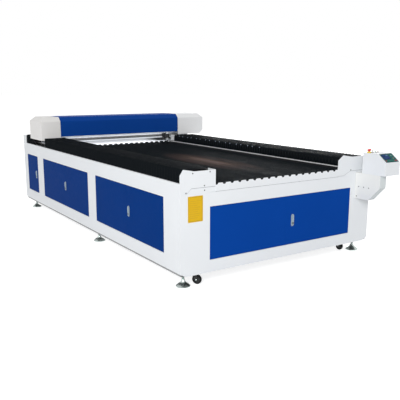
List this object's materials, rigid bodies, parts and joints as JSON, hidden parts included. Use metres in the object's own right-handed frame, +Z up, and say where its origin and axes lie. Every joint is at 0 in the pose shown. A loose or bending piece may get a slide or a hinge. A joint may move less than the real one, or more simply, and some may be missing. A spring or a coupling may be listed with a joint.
{
  "type": "laser engraving machine",
  "caption": "Flatbed carbon dioxide laser engraving and cutting machine with a moving gantry, slatted bed, bellows-covered rails and a cabinet with doors.",
  "frame": {"origin": "centre of the whole machine's footprint, on the floor", "axes": "+X to the machine's right as seen from its front, +Y from front to back along the bed, +Z up"},
  "size_m": [2.166, 4.091, 1.134],
  "materials": {
    "panel_white": "satin powder coat",
    "cap_white": "satin powder coat",
    "door_blue": "satin powder coat",
    "cover_blue": "satin powder coat",
    "frame_grey": "matte primer",
    "zinc_sheet": "galvanised",
    "rail_steel": "ground",
    "blade_black": "black anodised",
    "beam_alu": "satin anodised",
    "bellows_black": "coated fabric, glossy",
    "tube_glass": "clear",
    "bracket_grey": "satin",
    "head_black": "black anodised",
    "nozzle_brass": "turned",
    "keypad_plastic": "matte film",
    "collar_yellow": "matte",
    "button_red": "gloss",
    "button_green": "gloss",
    "zinc_bright": "zinc plated",
    "caster_black": "satin",
    "wheel_black": "matte",
    "plate_yellow": "satin",
    "case_grey": "satin"
  },
  "bodies": {
    "cabinet": {"frame_long_tubes": "frame_grey", "frame_posts": "frame_grey", "left_panel": "panel_white", "right_panel": "panel_white", "front_panel": "panel_white", "rear_panel": "panel_white", "floor_pan": "zinc_sheet", "service_panels": "door_blue", "rail_beams": "frame_grey", "linear_rails": "rail_steel", "rail_end_covers": "panel_white", "comb_plates": "panel_white", "slats": "blade_black", "slat_bars": "frame_grey", "bed_ledges": "panel_white", "fume_tray": "zinc_sheet", "exhaust_ducts": "zinc_sheet", "rear_ports": "nozzle_brass", "levelling_feet": "zinc_bright", "front_bellows": "bellows_black", "rear_bellows": "bellows_black", "hinge_pins": "zinc_bright", "screws": "zinc_bright", "blank_plate": "plate_yellow", "electronics": "case_grey", "console_arm": "panel_white", "console_box": "panel_white", "keypad_plate": "keypad_plastic", "switch_collars": "collar_yellow", "caster_mounts": "caster_black"},
    "door_left_a": {"door_left_a": "door_blue"},
    "door_left_b": {"door_left_b": "door_blue"},
    "door_left_c": {"door_left_c": "door_blue"},
    "door_left_d": {"door_left_d": "door_blue"},
    "door_left_e": {"door_left_e": "door_blue"},
    "door_front_l": {"door_front_l": "door_blue"},
    "door_front_r": {"door_front_r": "door_blue"},
    "latch_left_a": {"latch_left_a": "zinc_bright"},
    "latch_left_c": {"latch_left_c": "zinc_bright"},
    "latch_left_e": {"latch_left_e": "zinc_bright"},
    "latch_front": {"latch_front": "zinc_bright"},
    "caster_fork_l": {"caster_fork_l": "caster_black"},
    "caster_fork_r": {"caster_fork_r": "caster_black"},
    "wheel_fl": {"wheel_fl": "wheel_black"},
    "wheel_fr": {"wheel_fr": "wheel_black"},
    "wheel_rl": {"wheel_rl": "wheel_black"},
    "wheel_rr": {"wheel_rr": "wheel_black"},
    "gantry": {"gantry_beam": "beam_alu", "gantry_legs": "bracket_grey", "cap_left": "cap_white", "cap_right": "cap_white", "gantry_cover": "cover_blue", "cross_rail": "rail_steel", "laser_tube": "tube_glass", "tube_ribs": "bracket_grey"},
    "carriage": {"carriage": "head_black"},
    "focus_barrel": {"focus_barrel": "nozzle_brass"},
    "stop_button": {"stop_button": "button_red"},
    "start_button": {"start_button": "button_green"},
    "key_switch": {"key_switch": "zinc_bright"}
  },
  "joints": [
    {"name": "door_left_a_hinge", "type": "hinge", "parent": "cabinet", "child": "door_left_a", "pos_m": [-1.051, -1.4935, 0.455], "axis": [0, 0, 1], "range_deg": [0, 95]},
    {"name": "door_left_b_hinge", "type": "hinge", "parent": "cabinet", "child": "door_left_b", "pos_m": [-1.051, -0.2405, 0.455], "axis": [0, 0, -1], "range_deg": [0, 95]},
    {"name": "door_left_c_hinge", "type": "hinge", "parent": "cabinet", "child": "door_left_c", "pos_m": [-1.051, -0.0405, 0.455], "axis": [0, 0, 1], "range_deg": [0, 95]},
    {"name": "door_left_d_hinge", "type": "hinge", "parent": "cabinet", "child": "door_left_d", "pos_m": [-1.051, 1.2475, 0.455], "axis": [0, 0, -1], "range_deg": [0, 95]},
    {"name": "door_left_e_hinge", "type": "hinge", "parent": "cabinet", "child": "door_left_e", "pos_m": [-1.051, 1.8245, 0.455], "axis": [0, 0, -1], "range_deg": [0, 95]},
    {"name": "door_front_l_hinge", "type": "hinge", "parent": "cabinet", "child": "door_front_l", "pos_m": [-0.786, -1.7285, 0.403], "axis": [0, 0, -1], "range_deg": [0, 95]},
    {"name": "door_front_r_hinge", "type": "hinge", "parent": "cabinet", "child": "door_front_r", "pos_m": [0.688, -1.7285, 0.403], "axis": [0, 0, 1], "range_deg": [0, 95]},
    {"name": "latch_left_a_turn", "type": "hinge", "parent": "door_left_a", "child": "latch_left_a", "pos_m": [-1.057, -0.916, 0.455], "axis": [1, 0, 0], "range_deg": [0, 90]},
    {"name": "latch_left_c_turn", "type": "hinge", "parent": "door_left_c", "child": "latch_left_c", "pos_m": [-1.057, 0.5545, 0.455], "axis": [1, 0, 0], "range_deg": [0, 90]},
    {"name": "latch_left_e_turn", "type": "hinge", "parent": "door_left_e", "child": "latch_left_e", "pos_m": [-1.057, 1.5115, 0.455], "axis": [1, 0, 0], "range_deg": [0, 90]},
    {"name": "latch_front_turn", "type": "hinge", "parent": "door_front_r", "child": "latch_front", "pos_m": [0.026, -1.7345, 0.401], "axis": [0, 1, 0], "range_deg": [0, 90]},
    {"name": "caster_swivel_left", "type": "hinge", "parent": "cabinet", "child": "caster_fork_l", "pos_m": [-0.882, -1.6385, 0.09], "axis": [0, 0, 1], "range_deg": [-68, 188]},
    {"name": "caster_swivel_right", "type": "hinge", "parent": "cabinet", "child": "caster_fork_r", "pos_m": [0.743, -1.6295, 0.09], "axis": [0, 0, 1], "continuous": true},
    {"name": "wheel_fl_spin", "type": "hinge", "parent": "caster_fork_l", "child": "wheel_fl", "pos_m": [-0.86504, -1.66564, 0.0415], "axis": [0.848, 0.5299, 0], "continuous": true},
    {"name": "wheel_fr_spin", "type": "hinge", "parent": "caster_fork_r", "child": "wheel_fr", "pos_m": [0.743, -1.5975, 0.0415], "axis": [1, 0, 0], "continuous": true},
    {"name": "wheel_rl_spin", "type": "hinge", "parent": "cabinet", "child": "wheel_rl", "pos_m": [-0.882, 1.8605, 0.0415], "axis": [1, 0, 0], "continuous": true},
    {"name": "wheel_rr_spin", "type": "hinge", "parent": "cabinet", "child": "wheel_rr", "pos_m": [0.768, 1.8605, 0.0415], "axis": [1, 0, 0], "continuous": true},
    {"name": "gantry_slide", "type": "slide", "parent": "cabinet", "child": "gantry", "axis": [0, 1, 0], "range_m": [-2.5, 0], "deforming": ["front_bellows", "rear_bellows"]},
    {"name": "carriage_slide", "type": "slide", "parent": "gantry", "child": "carriage", "axis": [1, 0, 0], "range_m": [-1.3, 0.01]},
    {"name": "focus_slide", "type": "slide", "parent": "carriage", "child": "focus_barrel", "axis": [0, 0, 1], "range_m": [-0.01, 0.01]},
    {"name": "stop_press", "type": "slide", "parent": "cabinet", "child": "stop_button", "axis": [0, 0, -1], "range_m": [0, 0.005]},
    {"name": "start_press", "type": "slide", "parent": "cabinet", "child": "start_button", "axis": [0, 0, -1], "range_m": [0, 0.003], "stiffness_N_per_m": 800, "springref_m": -0.002},
    {"name": "key_turn", "type": "hinge", "parent": "cabinet", "child": "key_switch", "pos_m": [0.826, -1.8445, 0.919], "axis": [0, 0, 1], "range_deg": [0, 90]}
  ]
}
